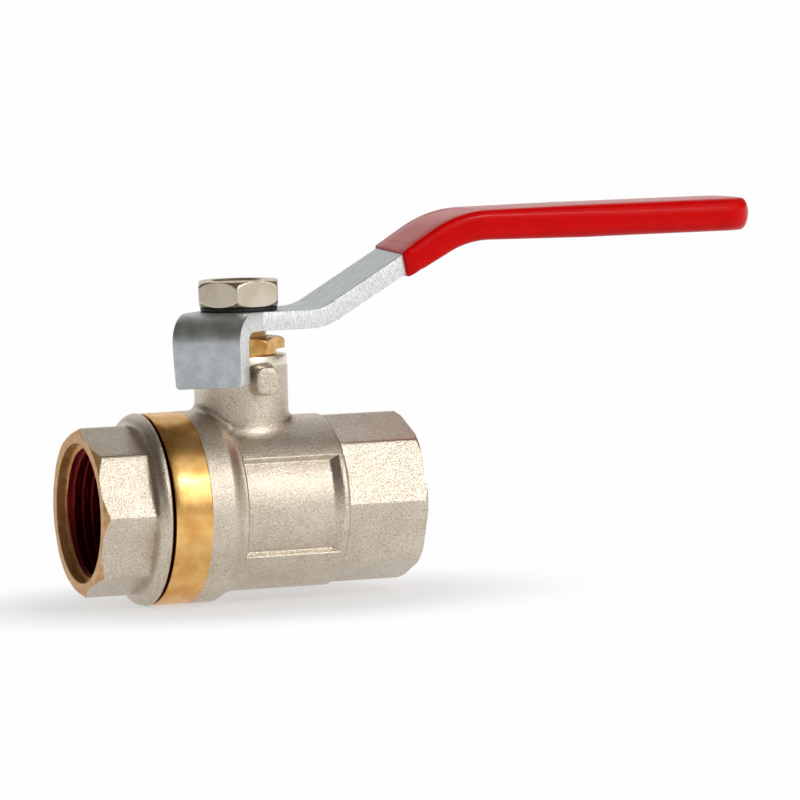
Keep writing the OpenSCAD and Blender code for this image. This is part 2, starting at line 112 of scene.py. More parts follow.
class Finish:
    """One material while it is being made up: add() puts a node in and gives back what comes out of it."""

    def __init__(self, name):
        self.material = bpy.data.materials.new(name)
        self.material.use_nodes = True
        self.tree = self.material.node_tree
        self.tree.nodes.clear()

    def add(self, kind, settings=None, values=None, out=0):
        node = self.tree.nodes.new(kind)
        for key, value in (settings or {}).items():
            setattr(node, key, value)
        for key, value in (values or {}).items():
            socket = node.inputs[key]
            if isinstance(value, Reading):
                self.tree.links.new(value.socket, socket)
            elif hasattr(value, "__len__") and len(value) == 3 and socket.type == "RGBA":
                socket.default_value = (*value, 1.0)
            else:
                socket.default_value = value
        return Reading(self, node.outputs[out]) if node.outputs else node

    def place(self):
        """The piece's own coordinates, in metres."""
        return self.add("ShaderNodeTexCoord", out="Object")

    def along(self, axis):
        """One coordinate of the piece, in millimetres."""
        return self.add("ShaderNodeSeparateXYZ", {}, {0: self.place()}, out=axis) / MM

    def stretch(self, x, y, z):
        """The piece's place with its axes stretched, in millimetres, for a grain that runs one way."""
        return self.add("ShaderNodeVectorMath", {"operation": "MULTIPLY"},
                        {0: self.place(), 1: (x / MM, y / MM, z / MM)})

    def mottle(self, size, detail=2.0, rough=0.5, where=None):
        """Soft noise between 0 and 1 whose blotches are about size millimetres across."""
        return self.add("ShaderNodeTexNoise", {"normalize": True},
                        {"Vector": where or self.stretch(1, 1, 1), "Scale": 1.0 / size, "Detail": detail,
                         "Roughness": rough})

    def blend(self, share, first, second):
        """One colour laid over another: share 0 keeps the first, share 1 gives the second."""
        return self.add("ShaderNodeMix", {"data_type": "RGBA"},
                        {"Factor": share, "A": first, "B": second}, out="Result")

    def relief(self, height, depth):
        """Turns a height between 0 and 1 into tilted light, for a real depth in millimetres."""
        return self.add("ShaderNodeBump", {}, {"Height": height, "Distance": depth * MM, "Strength": 1.0})

    def surface(self, **values):
        """Ends the material in its shader: each value goes to the socket of that name."""
        named = {key.replace("_", " ").title().replace("Ior", "IOR"): value for key, value in values.items()}
        shader = self.add("ShaderNodeBsdfPrincipled", {}, named)
        self.add("ShaderNodeOutputMaterial", {}, {"Surface": shader})
        return self.material


def seen_directly(finish, in_mirrors):
    """One for light that goes to the camera, in_mirrors for light that goes to a mirror or through glass, and
    nought for light that falls on things."""
    rays = [finish.add("ShaderNodeLightPath", out=ray)
            for ray in ("Is Camera Ray", "Is Glossy Ray", "Is Transmission Ray")]
    return rays[0] + (rays[1] + rays[2]) * in_mirrors


def put(name, skins, finishes, crease=35.0):
    """One mesh object from several grids of places in millimetres. Each skin is its places by row and column,
    the corners of its cells, and the number of its finish, or one number for each cell. Faces are turned
    outwards, and edges sharper than crease degrees stay crisp."""
    places, corners, numbers, count = [], [], [], 0
    for grid, cell, number in skins:
        places.append(grid.reshape(-1, 3))
        corners.append(cell + count)
        numbers.append(np.broadcast_to(number, len(cell)))
        count += len(places[-1])
    mesh = bpy.data.meshes.new(name)
    mesh.from_pydata((np.concatenate(places) * MM).tolist(), [], np.concatenate(corners).tolist())
    for finish in finishes:
        mesh.materials.append(finish)
    mesh.polygons.foreach_set("material_index", np.concatenate(numbers).astype(np.int32))
    shape = bmesh.new()
    shape.from_mesh(mesh)
    bmesh.ops.remove_doubles(shape, verts=shape.verts, dist=0.002 * MM)
    bmesh.ops.dissolve_degenerate(shape, edges=shape.edges, dist=0.0005 * MM)
    bmesh.ops.recalc_face_normals(shape, faces=shape.faces)
    shape.to_mesh(mesh)
    shape.free()
    mesh.shade_smooth()
    mesh.set_sharp_from_angle(angle=math.radians(crease))
    piece = bpy.data.objects.new(name, mesh)
    bpy.context.collection.objects.link(piece)
    return piece


def cells(rows, columns, round_rows=False, round_columns=True):
    """The corners of each cell of a grid that is counted row by row, run round where it is asked to."""
    row = np.arange(rows if round_rows else rows - 1)[:, None]
    column = np.arange(columns if round_columns else columns - 1)[None, :]
    next_row, next_column = (row + 1) % rows, (column + 1) % columns
    corners = [row * columns + column, row * columns + next_column,
               next_row * columns + next_column, next_row * columns + column]
    return np.stack(corners, -1).reshape(-1, 4)


table_z = -23.25
bowl_flat, bowl_wall, bowl_bend = 2800.0, 380.0, 250.0
bowl_middle, bowl_inner = 0.01, 800.0
shade_near, shade_far, shade_least, shade_more = 22.0, 70.0, 0.48, 0.5
front_near, front_far, front_least, front_more = -900.0, -150.0, 0.4, 0.6
bowl_arc = np.linspace(0.0, math.pi / 2, 13)
bowl_r = np.concatenate([
    [bowl_middle], [bowl_inner], bowl_flat + bowl_bend * np.sin(bowl_arc), [bowl_flat + bowl_bend]])
bowl_z = table_z + np.concatenate([[0.0], [0.0], bowl_bend * (1 - np.cos(bowl_arc)), [bowl_wall]])
bowl_turn = np.linspace(0.0, 2 * math.pi, 96, endpoint=False)
white_paper = Finish("white_paper")
paper_light = white_paper.add("ShaderNodeEmission", {}, {"Color": (1, 1, 1), "Strength": 1.0})
paper_skin = white_paper.add("ShaderNodeBsdfDiffuse", {}, {"Color": (0.88, 0.87, 0.86)})

# Close to the valve the paper shows its shadow. Mirrors see the paper's front darker, as in a real room.
from_valve = white_paper.add("ShaderNodeVectorMath", {"operation": "LENGTH"},
                             {0: white_paper.stretch(0.7, 1, 1)}, out="Value")
from_front = white_paper.along(1) + white_paper.along(0) * 0.5
paper_mix = white_paper.add("ShaderNodeMixShader", {}, {
    0: seen_directly(white_paper, from_front.fade(front_near, front_far) * front_more + front_least)
    * (from_valve.fade(shade_near, shade_far) * shade_more + shade_least), 1: paper_skin, 2: paper_light})
white_paper.add("ShaderNodeOutputMaterial", {}, {"Surface": paper_mix})
bowl = put("table", [(np.stack([
    bowl_r[:, None] * np.cos(bowl_turn), bowl_r[:, None] * np.sin(bowl_turn),
    np.broadcast_to(bowl_z[:, None], (len(bowl_r), len(bowl_turn)))], -1),
    cells(len(bowl_r), len(bowl_turn)), 0)], [white_paper.material])

room = bpy.data.worlds.new("room")
room.use_nodes = True
room.node_tree.nodes["Background"].inputs["Color"].default_value = (0.12, 0.103, 0.085, 1.0)
room.node_tree.nodes["Background"].inputs["Strength"].default_value = 1.0
bpy.context.scene.world = room

# Each lamp's line gives its place, its width and height, and how bright its face looks beside white paper.
lamp_aim = Vector((20, 0, 10)) * MM
for lamp_name, lamp_place, lamp_size, lamp_face in (
        ("lamp_front", (1130, -1540, 1330), (3400, 2500), 0.74),
        ("lamp_bright_middle", (760, -1520, 640), (1200, 620), 1.3),
        ("lamp_small", (600, -1300, 980), (200, 200), 30.0),
        ("lamp_behind", (300, 1300, 1250), (1900, 900), 0.6),
        ("lamp_low_behind", (190, 1560, 590), (2200, 560), 0.85)):
    lamp_data = bpy.data.lights.new(lamp_name, "AREA")
    lamp_data.shape, lamp_data.size, lamp_data.size_y = "RECTANGLE", lamp_size[0] * MM, lamp_size[1] * MM
    lamp_data.energy = lamp_face * math.pi * lamp_data.size * lamp_data.size_y
    lamp = bpy.data.objects.new(lamp_name, lamp_data)
    lamp.location = Vector(lamp_place) * MM
    lamp.rotation_euler = (lamp.location - lamp_aim).to_track_quat("Z", "Y").to_euler()
    bpy.context.collection.objects.link(lamp)


# ---------------------------------------------------------------- the body
# A brass forging, blasted and nickel plated: a round middle, an eight-sided end with a tapped hole, and a
# wide collar. The collar's band and the end face are turned after plating, so they show the bare brass.
end_flat = 19.0
outlet_x, cap_side_x, band_x = 40.2, -25.3, -16.1
middle_r, collar_r, band_r = 20.9, 23.2, 23.1
pipe_bore_r, relief_r, thread_minor_r, thread_depth, thread_pitch = 12.5, 16.8, 15.15, 1.45, 2.309
seat_pocket_r, chamber_r, cap_joint_r = 16.4, 17.9, 20.0
outlet_root_x, seat_back, chamber_end_x, cap_joint_x = 22.7, 14.65, 8.3, -10.6
mouth_depth, mouth_end_depth, relief_end_depth, mouth_rows = 2.4, 2.95, 2.3, 6
shoulder_head, shoulder_foot, octagon_x = -10.6, -6.1, 19.5
shoulder_step, shoulder_step_slope, shoulder_bend, shoulder_soft = 0.35, 1.1, 0.85, 0.08
middle_end_slope, middle_end_soft, octagon_from_x, octagon_soft = 2.4, 0.7, 18.3, 0.5
outlet_crisp = 110
panel_floor_r, panel_inlet_x, panel_outlet_x, panel_up, panel_down = 19.5, -5.55, 16.3, 34.2, 31.7
panel_from_x, panel_to_x, panel_soft = -9, 21, 0.3
inlet_wall_slope, outlet_wall_slope, side_wall_slope = 3.2, 0.75, 0.95
rim_r, rim_slope, rim_reach, outlet_rim_more, edge_round = 19.2, 0.95, 1.6, 0.45, 0.12
mouth_cone_in, mouth_cone_slope, crest_soft = 0.25, 3.0, 0.1


def steps(start, *legs):
    """Places along a line: each leg gives where it ends and in how many even steps it gets there."""
    places = [start]
    for end, count in legs:
        places.extend(np.linspace(places[-1], end, count + 1)[1:])
    return np.array(places)


def lesser(a, b, soft):
    """The smaller of two surfaces, with the edge where they cross rounded over about soft millimetres."""
    share = np.clip(0.5 + 0.5 * (b - a) / soft, 0.0, 1.0)
    return b + (a - b) * share - soft * share * (1 - share)


def greater(a, b, soft):
    """The larger of two surfaces, rounded alike: what is less among their negatives, turned back."""
    return -lesser(-a, -b, soft)


def many_sides(turn, sides, half_flat, crisp):
    """Radius of a bar with so many flats, a corner at turn 0: a power mean of the flats' own radii, so a
    higher crisp gives a sharper corner."""
    normals = (np.arange(sides) + 0.5) * 2 * math.pi / sides
    reach = np.clip(np.cos(turn[..., None] - normals), 0.0, None) ** crisp
    return half_flat / reach.sum(-1) ** (1 / crisp)


def corner_turns(sides, plain, tight):
    """Turns right round a bar, even in plain steps, with a few more at each corner, tight degrees apart."""
    close = np.array([-3, -2, -1, 1, 2, 3]) * tight
    turns = np.concatenate([np.arange(plain) * 360 / plain,
                            (np.arange(sides)[:, None] * 360 / sides + close).ravel() % 360])
    return np.radians(np.unique(np.round(turns, 4)))


def round_pipe(x, r, turn):
    """Places about the pipe: turn 0 faces the front and grows upwards."""
    x, r = np.broadcast_arrays(x, r)
    return np.stack([x, -r * np.cos(turn), r * np.sin(turn)], -1)


def pipe_thread(x, turn, mouth, root):
    """Radius of a tapped hole: a round-bottomed groove that moves one pitch along in a turn to the right,
    opens into a cone at the mouth and runs out at the root."""
    inwards = np.sign(root - mouth)
    wave = 0.5 - 0.5 * np.cos(2 * math.pi * (x / thread_pitch + turn / (2 * math.pi)))
    run_out = np.clip((root - x) * inwards / thread_pitch, 0, 1)
    cone = relief_r - mouth_cone_in - mouth_cone_slope * np.abs(x - mouth)
    return greater(thread_minor_r + thread_depth * wave * run_out, cone, crest_soft)


# The columns stand closer together where the panels' long walls rise.
panel_edges = np.radians(np.arange(31.0, 36.9, 0.28))
pipe_turns = np.unique(np.round(np.concatenate([
    corner_turns(8, 216, 0.35),
    *[half_turn + side * panel_edges for half_turn in (0, math.pi) for side in (-1, 1)]]) % (2 * math.pi), 4))
around = pipe_turns[None, :]
everywhere = np.ones_like(around)


def turned_end(into):
    """Radius of the cone that turns the eight corners off at an end, so far in from the end's face."""
    return rim_r + into * rim_slope


def plain_radius(x):
    """Radius of the round parts: the collar's shoulder falls in half a wave and ends in a low step."""
    fall = np.clip((x - shoulder_head) / (shoulder_foot - shoulder_head), 0, 1)
    half_wave = 0.5 + 0.5 * np.cos(math.pi * fall ** shoulder_bend)
    shoulder = middle_r + shoulder_step + (collar_r - middle_r - shoulder_step) * half_wave
    low_step = middle_r + (shoulder_foot - x) * shoulder_step_slope
    return greater(lesser(shoulder, low_step, shoulder_soft), middle_r + 0 * x, shoulder_soft)


def body_radius(x, turn):
    """Radius of the forging along the pipe: the larger of the collar and middle and the eight-sided end, less
    the two side panels, whose floor is round and whose four walls slope."""
    plain = lesser(plain_radius(x), middle_r + (octagon_x - x) * middle_end_slope, middle_end_soft)
    eight_sided = greater(plain, many_sides(turn, 8, end_flat, outlet_crisp), octagon_soft)
    whole = np.where(x > octagon_from_x, eight_sided, plain)
    end_wall = np.maximum((panel_inlet_x - x) * inlet_wall_slope, (x - panel_outlet_x) * outlet_wall_slope)
    off_front = np.degrees(np.abs(np.arcsin(np.clip(np.sin(turn), -1, 1))))
    side_wall = (off_front - np.where(np.sin(turn) > 0, panel_up, panel_down)) * side_wall_slope
    panel = panel_floor_r + greater(greater(end_wall, side_wall, panel_soft), 0 * x, panel_soft)
    beside_panel = (x > panel_from_x) & (x < panel_to_x)
    whole = np.where(beside_panel, lesser(whole, panel, panel_soft), whole)
    rim = turned_end(outlet_x - x) + outlet_rim_more
    return np.where(x > outlet_x - rim_reach, lesser(whole, rim, edge_round), whole)


forged_x = steps(
    band_x, (shoulder_head, 8), (-7.4, 8), (-5.0, 24), (-2.0, 3), (15.0, 22), (23.5, 40), (37.8, 12),
    (outlet_x, 16))[:, None]
forged_r = body_radius(forged_x, around)
band_rows = np.array([
    [cap_side_x, band_r - 0.3], [cap_side_x + 0.1, band_r - 0.1], [cap_side_x + 0.3, band_r],
    [-23.0, band_r], [-20.0, band_r], [-18.0, band_r], [band_x - 0.12, band_r]])
outlet_mouth_x = outlet_x - mouth_depth
outlet_thread_x = steps(
    outlet_mouth_x, (outlet_x - mouth_end_depth, mouth_rows - 1), (outlet_root_x + 0.05, 84))[:, None]
bore_rows = np.array([
    [outlet_root_x, pipe_bore_r], [seat_back, pipe_bore_r], [seat_back, seat_pocket_r],
    [chamber_end_x, seat_pocket_r], [chamber_end_x, chamber_r], [cap_joint_x, chamber_r],
    [cap_joint_x, cap_joint_r], [cap_side_x, cap_joint_r]])
rim_radii = np.array([[relief_r + 0.9], [relief_r + 0.15]])
relief_depths = np.array([[0.15], [relief_end_depth]])
body_rows = [
    round_pipe(band_rows[:, :1], band_rows[:, 1:] * everywhere, around),
    round_pipe(forged_x * everywhere, forged_r, around),
    round_pipe(np.full((2, 1), outlet_x), rim_radii * everywhere, around),
    round_pipe((outlet_x - relief_depths) * everywhere, relief_r * everywhere, around),
    round_pipe(outlet_thread_x * everywhere,
               pipe_thread(outlet_thread_x, around, outlet_mouth_x, outlet_root_x), around),
    round_pipe(bore_rows[:, :1], bore_rows[:, 1:] * everywhere, around)]
row_counts = [len(rows) for rows in body_rows]

# A face's number is the place of its finish in body_finishes. The first rows of the thread are its mouth.
cast_face, band_face, thread_face, bright_face, dull_face = range(5)
body_finish = np.repeat([band_face, cast_face, dull_face, dull_face, thread_face, thread_face], row_counts)
mouth_begin = sum(row_counts[:4])
body_finish[mouth_begin:mouth_begin + mouth_rows] = dull_face
body_grid = np.concatenate(body_rows)
body_cells = cells(len(body_grid), len(pipe_turns), round_rows=True)
body_skin = (body_grid, body_cells, np.repeat(body_finish, len(pipe_turns)))

# The neck stands on the middle; its foot is blended into the round, and its top is turned bright.
neck_r, neck_top, neck_turned_z, neck_blend = 11.35, 36.15, 33.6, 2.4
stem_room_r, stem_room_z, packing_room_r = 8.25, 21.85, 8.0
neck_sunk_r, foot_sink = 19.3, 0.06
neck_turns = np.linspace(0, 2 * math.pi, 144, endpoint=False)


def body_top(reach, turn):
    """Height of the forging's top at a distance from the stem, from its radius where it crosses the plan."""
    x, y = reach * np.cos(turn), reach * np.sin(turn)
    return np.sqrt(plain_radius(x) ** 2 - y * y)


def round_stem(r, z, turn):
    """Places about the stem: turn 0 points to the outlet and grows anticlockwise, seen from above."""
    r, z = np.broadcast_arrays(r, z)
    return np.stack([r * np.cos(turn), r * np.sin(turn), z], -1)


blend_share = np.linspace(0, 1, 9)[:, None]
foot_z, wall_z = body_top(neck_r + neck_blend, neck_turns), body_top(neck_r, neck_turns)
foot_r = (neck_r + neck_blend) * (1 - blend_share) ** 2 + neck_r * (1 - (1 - blend_share) ** 2)
foot_rows = (foot_z - foot_sink) * (1 - blend_share) ** 2 + wall_z * 2 * blend_share * (1 - blend_share) + (
    wall_z + neck_blend) * blend_share ** 2
wall_rows = wall_z + neck_blend + (neck_turned_z - wall_z - neck_blend) * np.linspace(0, 1, 7)[1:, None]
sunk_z = np.sqrt(neck_sunk_r ** 2 - (neck_r * np.sin(neck_turns)) ** 2)
room_foot_z = np.sqrt(neck_sunk_r ** 2 - (stem_room_r * np.sin(neck_turns)) ** 2)
neck_profile = [
    round_stem(foot_r * np.ones_like(neck_turns), foot_rows, neck_turns),
    round_stem(neck_r, wall_rows, neck_turns),
    *[round_stem(r, np.full_like(neck_turns, z), neck_turns)[None] for r, z in (
        (neck_r - 0.1, neck_turned_z + 0.1), (neck_r - 0.1, neck_top - 0.35), (neck_r - 0.2, neck_top - 0.12),
        (neck_r - 0.45, neck_top), (packing_room_r + 0.3, neck_top), (packing_room_r, neck_top - 0.3),
        (packing_room_r, stem_room_z), (stem_room_r, stem_room_z))],
    round_stem(stem_room_r, room_foot_z, neck_turns)[None],
    round_stem(neck_r - 0.5, sunk_z, neck_turns)[None],
    round_stem(neck_r + neck_blend, foot_z - 0.5, neck_turns)[None]]
neck_grid = np.concatenate(neck_profile)
neck_finish = np.full(len(neck_grid), cast_face)
turned_from = len(foot_rows) + len(wall_rows) - 1
neck_finish[turned_from:turned_from + 7] = bright_face
neck_skin = (neck_grid, cells(len(neck_grid), len(neck_turns), round_rows=True),
             np.repeat(neck_finish, len(neck_turns)))


# A lug stands on each side of the neck, where the lever's tab strikes it.
lug_x, lug_z, lug_half_w, lug_half_h, lug_squareness = 1.1, 30.6, 2.8, 3.3, 3.2
lug_from, lug_reach, lug_round = 8.4, 16.5, 0.5


def lug_skin(side):
    """A stop lug: rounded oblongs from inside the neck's wall outwards, wider at the root and closed at both
    ends. The outer end's rim is a quarter round."""
    lug_turns = np.linspace(0, 2 * math.pi, 56, endpoint=False)
    out = steps(lug_from, (10.6, 3), (13.2, 12), (lug_reach - lug_round, 4), (lug_reach, 6))
    root = np.exp(-np.clip(out - 10.9, 0, None) / 0.6)
    into_rim = np.clip(out - (lug_reach - lug_round), 0, lug_round)
    rim = lug_round - np.sqrt(np.clip(lug_round ** 2 - into_rim ** 2, 0, None))
    half_w, half_h = lug_half_w + root - rim, lug_half_h + root - rim
    out = np.concatenate([[lug_from], out, [lug_reach] * 3])
    half_w = np.concatenate([[0.0], half_w, half_w[-1] * np.array([0.6, 0.25, 0.0])])
    half_h = np.concatenate([[0.0], half_h, half_h[-1] * np.array([0.6, 0.25, 0.0])])
    side_share, top_share = np.abs(np.cos(lug_turns)), np.abs(np.sin(lug_turns))
    bulge = (side_share ** lug_squareness + top_share ** lug_squareness) ** (-1 / lug_squareness)
    x = lug_x + half_w[:, None] * bulge * np.cos(lug_turns)
    z = lug_z + half_h[:, None] * bulge * np.sin(lug_turns)
    grid = np.stack([x, side * out[:, None] * np.ones_like(x), z], -1)
    return grid, cells(len(out), len(lug_turns)), cast_face


nickel_cast = Finish("nickel_cast")
cast_grain_and_sparkle = nickel_cast.mottle(0.34, 2.0, 0.6)
cast_fine = nickel_cast.mottle(0.22, 1.0)
cast_cloud = nickel_cast.mottle(8.0, 3.0)
cast_tint = nickel_cast.mottle(3.2, 3.0, 0.6)
cast_colour = nickel_cast.blend(cast_cloud.fade(0.35, 0.68), (0.63, 0.55, 0.445), (0.70, 0.625, 0.52))
cast_colour = nickel_cast.blend(cast_tint.fade(0.50, 0.72) * 0.45, cast_colour, (0.57, 0.47, 0.37))
# Painted highlight and shade: the grain's raised specks are painted lighter, as glints of the blasted
# plating, and its hollows darker, as shade in the pits. The cloud and tint above are the plating's own uneven
# tone.
cast_colour = nickel_cast.blend(cast_grain_and_sparkle.fade(0.53, 0.66) * 0.55, cast_colour, (0.90, 0.84, 0.74))
cast_colour = nickel_cast.blend(cast_grain_and_sparkle.fade(0.49, 0.36) * 0.6, cast_colour, (0.36, 0.29, 0.21))
nickel_cast.surface(
    base_color=cast_colour, metallic=1.0, roughness=0.34 - cast_fine * 0.10,
    normal=nickel_cast.relief(cast_grain_and_sparkle + cast_fine * 0.3, 0.12))

bare_brass = Finish("bare_brass")
turning_rings = bare_brass.mottle(1.0, 2.0, 0.6, where=bare_brass.stretch(14, 0.15, 0.15))
brass_cloud = bare_brass.mottle(5.0, 3.0)
bare_brass.surface(
    base_color=bare_brass.blend(brass_cloud.fade(0.3, 0.7), (0.72, 0.37, 0.10), (0.88, 0.54, 0.20)),
    metallic=1.0, roughness=0.20 + turning_rings * 0.10,
    normal=bare_brass.relief(turning_rings, 0.02))

dull_brass = Finish("dull_brass")
dull_rings = dull_brass.mottle(2.2, 3.0, 0.6)
dull_brass.surface(
    base_color=dull_brass.blend(dull_rings.fade(0.35, 0.7), (0.72, 0.38, 0.14), (0.90, 0.57, 0.27)),
    metallic=0.55, roughness=0.36 + dull_rings * 0.14, normal=dull_brass.relief(dull_rings, 0.03))

# Painted shade: the threads inside the tapped holes are painted a near-black red for the shade inside the
# hole, far darker than brass is.
thread_brass_painted_shade = Finish("thread_brass_painted_shade")
cutter_marks = thread_brass_painted_shade.mottle(0.6, 2.0, 0.6)
thread_brass_painted_shade.surface(
    base_color=thread_brass_painted_shade.blend(cutter_marks.fade(0.35, 0.7), (0.12, 0.006, 0.007), (0.18, 0.013, 0.013)),
    metallic=1.0, roughness=0.40 + cutter_marks * 0.1, normal=thread_brass_painted_shade.relief(cutter_marks, 0.02))

bright_nickel = Finish("bright_nickel")
neck_rings = bright_nickel.mottle(1.0, 2.0, 0.6, where=bright_nickel.stretch(0.15, 0.15, 12))
bright_nickel.surface(
    base_color=bright_nickel.blend(neck_rings.fade(0.3, 0.7), (0.80, 0.70, 0.57), (0.88, 0.80, 0.68)),
    metallic=1.0, roughness=0.20 + neck_rings * 0.1, normal=bright_nickel.relief(neck_rings, 0.015))

body_finishes = [nickel_cast.material, bare_brass.material, thread_brass_painted_shade.material, bright_nickel.material,
                 dull_brass.material]
body = put("body_forging", [body_skin], body_finishes)
neck = put("neck", [neck_skin, lug_skin(-1), lug_skin(1)], body_finishes)

# The room for the stem goes through the round wall: a plug of its size is cut out of the pipe's skin, and the
# neck with its lugs is then joined to it.
plug_r, plug_foot = stem_room_r + 0.05, 10.0
plug_turns = np.linspace(0, 2 * math.pi, 96, endpoint=False)
plug_rows = np.array([[0.0, plug_foot], [plug_r, plug_foot], [plug_r, stem_room_z], [0.0, stem_room_z]])
plug_grid = round_stem(plug_rows[:, :1] * np.ones_like(plug_turns), plug_rows[:, 1:], plug_turns)
plug = put("stem_room", [(plug_grid, cells(len(plug_rows), len(plug_turns)), cast_face)], body_finishes)
cut = body.modifiers.new("stem_room", "BOOLEAN")
cut.object, cut.operation, cut.solver = plug, "DIFFERENCE", "EXACT"
bpy.context.view_layer.update()
bored = bpy.data.meshes.new_from_object(body.evaluated_get(bpy.context.evaluated_depsgraph_get()))
joined = bmesh.new()
joined.from_mesh(bored)
joined.from_mesh(neck.data)
joined.to_mesh(bored)
joined.free()
body.modifiers.clear()
body.data = bored
bpy.data.objects.remove(plug)
bpy.data.objects.remove(neck)
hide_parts("valve_body")
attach(body, "body")


# ---------------------------------------------------------------- the cap
# The inlet end is a second forging, screwed into the collar: eight flats, a rounded flange that stops a hair
# short of the body, and a turned face with a relief and a tapped hole.
inlet_x, flange_x, flange_crest_x, flange_round = -42.2, -25.65, -26.55, 2.634
spigot_r, nose_x, inlet_root_x = 19.94, -11.45, -24.7
cap_rim_reach, cap_turned_reach, flange_soft, inlet_crisp = 1.9, 1.7, 0.25, 90
end_corner = end_flat / math.cos(math.radians(22.5))
cap_x = steps(inlet_x, (inlet_x + 1.8, 16), (-31.0, 8), (-29.3, 4))[:, None]
cap_flats = many_sides(around, 8, end_flat, inlet_crisp)
cap_rim = lesser(cap_flats + 0 * cap_x, turned_end(cap_x - inlet_x), edge_round)
cap_r = np.where(cap_x < inlet_x + cap_rim_reach, cap_rim, cap_flats)
flange_arc = np.linspace(0, math.pi / 2, 10)
flange_x_rows = (flange_crest_x - flange_round * np.cos(flange_arc))[:, None]
flange_r = greater(
    end_corner + flange_round * np.sin(flange_arc)[:, None] + 0 * around, cap_flats, flange_soft)
cap_tail = np.array([
    [-26.35, collar_r - 0.04], [-26.1, collar_r - 0.25], [-25.9, collar_r - 0.7], [flange_x, 21.2],
    [flange_x, spigot_r], [nose_x - 0.95, spigot_r], [nose_x, 19.0], [nose_x, seat_pocket_r],
    [-seat_back, seat_pocket_r], [-seat_back, pipe_bore_r], [inlet_root_x, pipe_bore_r]])
inlet_mouth_x = inlet_x + mouth_depth
inlet_thread_x = steps(
    inlet_root_x - 0.05, (inlet_x + mouth_end_depth, 84), (inlet_mouth_x, mouth_rows - 1))[:, None]
cap_rows = [
    round_pipe(cap_x * everywhere, cap_r, around),
    round_pipe(flange_x_rows * everywhere, flange_r, around),
    round_pipe(cap_tail[:, :1], cap_tail[:, 1:] * everywhere, around),
    round_pipe(inlet_thread_x * everywhere,
               pipe_thread(inlet_thread_x, around, inlet_mouth_x, inlet_root_x), around),
    round_pipe((inlet_x + relief_depths[::-1]) * everywhere, relief_r * everywhere, around),
    round_pipe(np.full((2, 1), inlet_x), rim_radii[::-1] * everywhere, around)]
cap_cast, cap_dull, cap_thread = range(3)
cap_finish = np.repeat([cap_cast, cap_cast, cap_cast, cap_thread, cap_dull, cap_dull],
                       [len(rows) for rows in cap_rows])
mouth_end = sum(len(rows) for rows in cap_rows[:4])
cap_finish[mouth_end - mouth_rows:mouth_end] = cap_dull
cap_finish = np.broadcast_to(cap_finish[:, None], (len(cap_finish), len(pipe_turns))).copy()
turned_off = (cap_x < inlet_x + cap_turned_reach) & (cap_flats > turned_end(cap_x - inlet_x))
cap_finish[:len(cap_x)][turned_off] = cap_dull
cap_grid = np.concatenate(cap_rows)
cap = put("cap_forging", [(cap_grid, cells(len(cap_grid), len(pipe_turns), round_rows=True),
                           cap_finish.ravel())],
          [nickel_cast.material, dull_brass.material, thread_brass_painted_shade.material])
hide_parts("end_cap")
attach(cap, "body")


# ---------------------------------------------------------------- the lever
# A strip of zinc-plated steel, stamped out and bent: level round the stem, up a slope to the grip, and with a
# tab that leaves the hub on the skew and turns straight down to strike the stop lugs.
strip_half, strip_t, hub_mid_z, strip_corner, strip_skew_len = 10.25, 4.5, 44.5, 7.5, 12.0
tab_half, tab_turn = 9.2, math.radians(42.97)
slope = math.radians(30.0)
rise_x, low_bend_r, high_bend_r, grip_rise, lever_end_x = 18.0, 13.0, 26.0, 21.25, 132.0
grip_x = rise_x + grip_rise / math.tan(slope)
low_tangent, high_tangent = low_bend_r * math.tan(slope / 2), high_bend_r * math.tan(slope / 2)
strip_legs = [
    (rise_x - low_tangent, 0.0), (low_bend_r * slope, slope),
    (grip_rise / math.sin(slope) - low_tangent - high_tangent, 0.0), (high_bend_r * slope, -slope),
    (lever_end_x - grip_x - high_tangent, 0.0)]
tab_bend_r, tab_bend_x, tab_low, tab_corner, tab_skew_len = 4.7, 10.55, 29.2, 1.0, 7.0
lean_top_z, lean_len, lean_out, lean_up = 44.0, 14.0, 0.7, 0.35
edge_bevel, bevel_from = 0.3, math.radians(40)
tab_legs = [(tab_bend_x, 0.0), (tab_bend_r * math.pi / 2, -math.pi / 2),
            (hub_mid_z - tab_bend_r - tab_low, 0.0)]


def walk(length, z, legs):
    """Follows a bent strip's middle line. Each leg is its length and how far the heading turns on it, so a
    leg that turns is an arc. Gives the distance out, the height and the heading at each length."""
    reach, height, heading = length * 0.0, length * 0.0 + z, length * 0.0
    begin, course = 0.0, 0.0
    for number, (leg, turn) in enumerate(legs):
        last = number == len(legs) - 1
        gone = np.clip(length - begin, None if number == 0 else 0.0, None if last else leg)
        if turn:
            radius = leg / turn
            reach += radius * (np.sin(course + gone / radius) - math.sin(course))
            height -= radius * (np.cos(course + gone / radius) - math.cos(course))
        else:
            reach += gone * math.cos(course)
            height += gone * math.sin(course)
        heading += gone / leg * turn
        begin, course = begin + leg, course + turn
    return reach, height, heading


def rounded_end(length, total, half, corner):
    """Half the width of a strip whose two end corners are rounded."""
    into = np.clip(length - (total - corner), 0.0, corner)
    return half - corner + np.sqrt(corner * corner - into * into)


